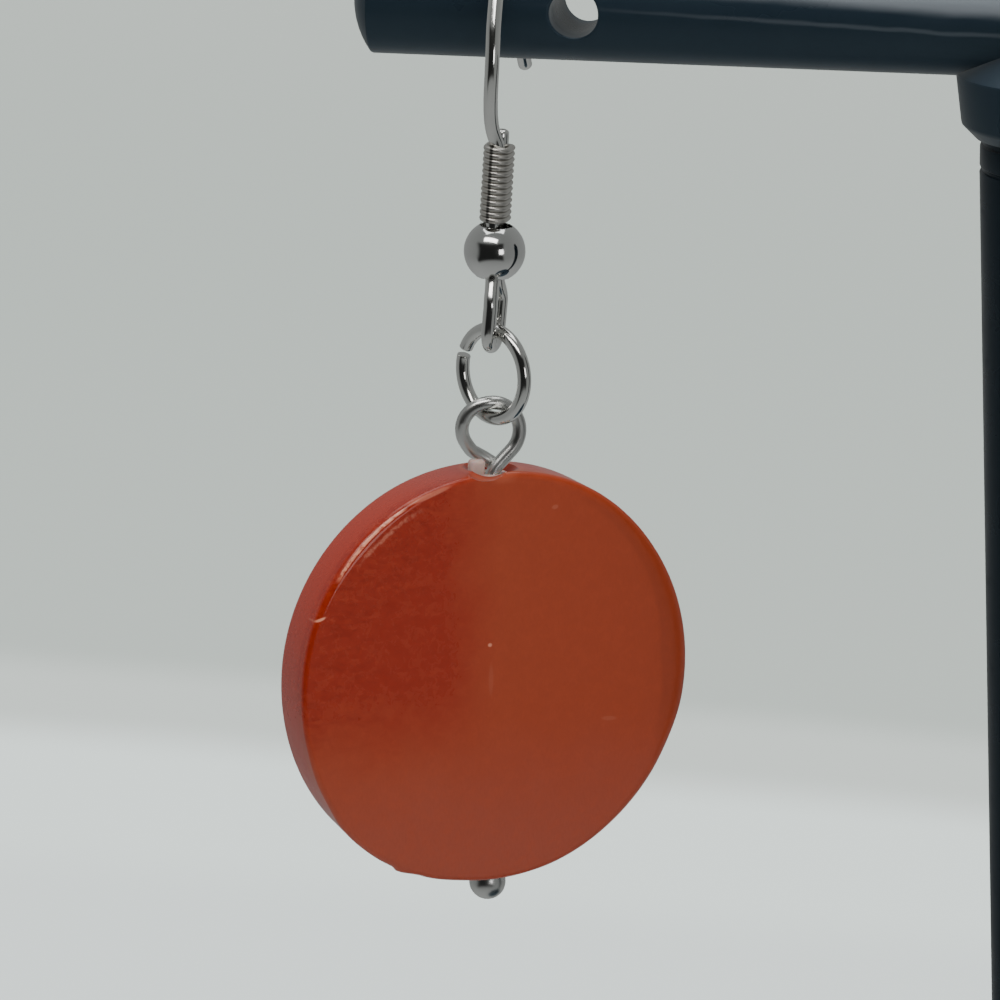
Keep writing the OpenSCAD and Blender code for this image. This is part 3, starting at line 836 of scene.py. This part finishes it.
def make_disc():
    """Thick disc with a hand-finished edge, drilled up and down, with sunk mouths."""
    # round the disc, how far the front edge is worn in from the rim and back from the face
    wide = [(-180, 0.26), (-120, 0.3), (-60, 0.35), (-35, 0.5), (-12, 1.25), (30, 1.25), (55, 0.6), (80, 0.35),
            (105, 0.3), (122, 0.45), (135, 0.5), (150, 0.4), (180, 0.26)]
    deep = [(-180, 0.26), (-120, 0.3), (-35, 0.35), (0, 0.4), (55, 0.38), (105, 0.3), (135, 0.42), (180, 0.26)]
    # out of round, and a small ridge of lacquer with a step at the front edge's lower left
    uneven = [(-180, 0.03), (-140, 0.1), (-118, 0.02), (-75, -0.08), (-50, -0.14), (-28, -0.12), (-10, 0), (30, 0),
              (60, 0.06), (90, 0), (120, 0.05), (180, 0.03)]
    ridge = [(-180, 0), (-165, 0.02), (-150, 0.12), (-138, 0.28), (-126, 0.28), (-121, 0.25), (-119.6, 0.35),
             (-112, 0.13), (-98, 0), (180, 0)]
    edge, back_edge = 0.6, 0.45
    put_down()
    bpy.ops.mesh.primitive_cylinder_add(vertices=256, radius=DISC_R * MM, depth=2 * DISC_HALF * MM,
                                        rotation=(math.pi / 2, 0, 0))
    disc = newest("red_disc")

    def at_rim(p):
        return math.hypot(p.x, p.z) > (DISC_R - 0.05) * MM

    pick(disc, "FACE", lambda f: len(f.vertices) > 8)
    bpy.ops.mesh.inset(thickness=1.6 * MM)
    pick(disc, "EDGE", lambda e: abs(abs(edge_mid(disc, e).y) - DISC_HALF * MM) < 1e-6 and at_rim(edge_mid(disc, e))
         and all(at_rim(disc.data.vertices[i].co) for i in e.vertices))
    bpy.ops.mesh.bevel(offset=edge * MM, segments=12, affect="EDGES")
    put_down()
    for v in disc.data.vertices:
        x, y, z = v.co / MM
        r, front = math.hypot(x, z), y < 0
        if r > DISC_R - edge - 1e-4 and abs(y) > DISC_HALF - edge - 1e-4:
            a = math.degrees(math.atan2(z, x))
            own_w, own_d = (at_angle(wide, a), at_angle(deep, a)) if front else (back_edge, back_edge)
            slope = math.atan2(abs(y) - (DISC_HALF - edge), r - (DISC_R - edge))
            nr = DISC_R - own_w + own_w * math.cos(slope)
            ny = DISC_HALF - own_d + own_d * math.sin(slope)
            if front:
                # the ridge grows over the last of the thickness
                nr += at_angle(ridge, a) * ease(min(1, max(0, (ny - 0.9) / 0.4)))
            nr += at_angle(uneven, a)
            v.co = Vector((x * nr / r, math.copysign(ny, y), z * nr / r)) * MM
    # the drilled hole, its two mouths and the upper mouth's flare: lower and upper radius, depth and height
    bores = [("drill", DRILL_R, DRILL_R, 30, 0), ("mouth", MOUTH_R, MOUTH_R, 2.0, DISC_R),
             ("low_mouth", MOUTH_R, MOUTH_R, 2 * LOW_MOUTH_DEEP, -DISC_R),
             ("sunk_mouth", 0.8, 1.8, 1.0, DISC_R - 0.1)]
    for name, low_r, high_r, depth, z in bores:
        put_down()
        bpy.ops.mesh.primitive_cone_add(vertices=64, radius1=low_r * MM, radius2=high_r * MM, depth=depth * MM,
                                        location=(HOLE_SIDEWAYS * MM, 0, z * MM))
        cut(disc, newest(name))
    # the lip in front of the hole is scooped low
    scoop_r, scoop_at = 1.6, Vector((HOLE_SIDEWAYS - 0.85, -1.45, DISC_R + 1.22))
    put_down()
    bpy.ops.mesh.primitive_uv_sphere_add(segments=64, ring_count=40, radius=scoop_r * MM, location=scoop_at * MM)
    cut(disc, newest("scoop"))
    disc.data.transform(Matrix.Translation(DISC_MID * MM) @ Matrix.Rotation(DISC_FACE + math.pi / 2, 4, "Z"))
    tidy_mesh(disc, 0.0001)
    return disc


# The pieces, each on its body and in place of its node
STAND, RING, DROP = "stand_and_hook", "ring", "drop"
base = make_base()
smooth(base)
give(base, black, "stand_black", STAND, "stand_base")
post = make_post()
smooth(post, 30)
give(post, shaded_post_black, "stand_black", STAND, "stand_post")
bar = make_bar()
smooth(bar, 32)
bar.visible_glossy = False
give(bar, black, "stand_black", STAND, "stand_bar")
hook = make_hook()
give(hook, plated, "silver_plate", STAND, "ear_hook")
coil = make_coil()
give(coil, coil_metal, "coil_wire", STAND, "hook_coil")
bead = make_bead()
smooth(bead, 40)
give(bead, bead_metal, "silver_plate", STAND, "hook_bead")
ring = make_ring()
smooth(ring, 40)
give(ring, plated, "silver_plate", RING, "jump_ring")
pin = make_pin()
give(pin, satin, "silver_plate", DROP, "ball_pin")
dab = make_glue()
smooth(dab, 60)
give(dab, glue, "glue", DROP, "glue_dab")
disc = make_disc()
smooth(disc, 30)
disc.visible_glossy = False
give(disc, red, "disc_red", DROP, "disc")


# Stage and light
def make_stage():
    """Pale floor: a lighter part lies in front and ends softly behind the stand; farther back the floor is darker,
    painted shade standing in for the dimmer wall.
    """
    put_down()
    bpy.ops.mesh.primitive_circle_add(vertices=64, radius=3.0, fill_type="NGON")
    stage = newest("pale_floor")
    f = Finish("pale_matt_paper")
    split = f.add("SeparateXYZ")
    f.join(f.place(turn=(0, 0, math.radians(8.2))), split.inputs[0])
    # how far back on the floor, in metres, a little unevenly
    back = f.plus(split.outputs["Y"], f.times(f.less(f.noise(9, 3), 0.5), 0.012))
    # painted shade: beyond the stand the floor is darker, growing lighter farther back
    tone = f.blend(f.span(back, 0.30, 0.60), (0.385, 0.42, 0.392), (0.485, 0.51, 0.478))
    for near, far, paper in ((0.188, 0.198, (0.485, 0.515, 0.49)), (0.168, 0.180, (0.665, 0.72, 0.70)),
                             (0.135, 0.150, (0.62, 0.665, 0.655))):
        tone = f.blend(f.span(back, near, far, 1.0, 0.0), tone, paper)
    f.set(Base_Color=tone, Roughness=0.8)
    stage.data.materials.append(f.mat)
    stage.visible_glossy = False


make_stage()


def soft_light(name, direction, distance, size, power, tint, long=None, mirrored=True):
    """A square or long soft light that shines at the drop from a direction, in metres and watts."""
    lamp = bpy.data.lights.new(name, "AREA")
    lamp.energy, lamp.color, lamp.size = power, tint, size
    if long:
        lamp.shape, lamp.size_y = "RECTANGLE", long
    holder = bpy.data.objects.new(name, lamp)
    bpy.context.collection.objects.link(holder)
    way = Vector(direction).normalized()
    holder.location = Vector((-27, -3, 60)) * MM + way * distance
    holder.rotation_euler = way.to_track_quat("Z", "Y").to_euler()
    holder.visible_glossy = mirrored


soft_light("fill_above", (0.05, 0.15, 1.0), 1.3, 1.0, 22, (0.97, 1.0, 1.0), mirrored=False)
soft_light("fill_right", (1.0, -0.35, 0.35), 1.3, 0.5, 4, (0.96, 0.99, 1.0), mirrored=False)
soft_light("front_overhead", (-0.14, -0.59, 0.80), 1.1, 0.95, 5.2, (1.0, 0.99, 0.97), long=0.28)
soft_light("ceiling", (-0.05, 0.2, 0.98), 1.3, 1.3, 8, (0.97, 1.0, 1.0), long=0.85)
soft_light("front_right", (0.563, -0.817, 0.127), 1.3, 0.36, 1.6, (1.0, 1.0, 1.0), long=0.38)


def make_room():
    """Soft room light: even and grey all round, with a dim square in front."""
    grey, behind, below, darkest = 0.24, 0.06, 0.12, 0.92
    world = bpy.data.worlds.new("soft_room")
    bpy.context.scene.world = world
    world.use_nodes = True
    n = Nodes(world.node_tree)
    out = n.add("TexCoord").outputs["Generated"]

    def toward(way):
        """How far the light's direction points along a way, from -1 to 1."""
        node = n.add("VectorMath", operation="DOT_PRODUCT")
        n.join(out, node.inputs[0])
        node.inputs[1].default_value = way
        return node.outputs["Value"]

    ahead, aside, above, height = toward(towards), toward(level), toward(upright), toward((0, 0, 1))
    across = n.times(n.span(aside, -0.96, -0.8), n.span(aside, 0.46, 0.62, 1, 0))
    along = n.times(n.span(above, -0.68, -0.5), n.span(above, 0.34, 0.5, 1, 0))
    square = n.times(n.times(across, along), n.span(ahead, 0.1, 0.3))
    # a little lighter behind and from below
    shade = n.plus(n.plus(grey, n.span(ahead, -0.6, 0.8, behind, 0.0)), n.span(height, -0.9, -0.2, below, 0.0))
    glow = n.times(shade, n.less(1.0, n.times(square, darkest)))
    tint = n.add("CombineXYZ")
    for axis, share in zip("XYZ", (1.0, 1.04, 1.03)):
        n.join(n.times(glow, share), tint.inputs[axis])
    n.join(tint.outputs["Vector"], n.tree.nodes["Background"].inputs["Color"])


make_room()
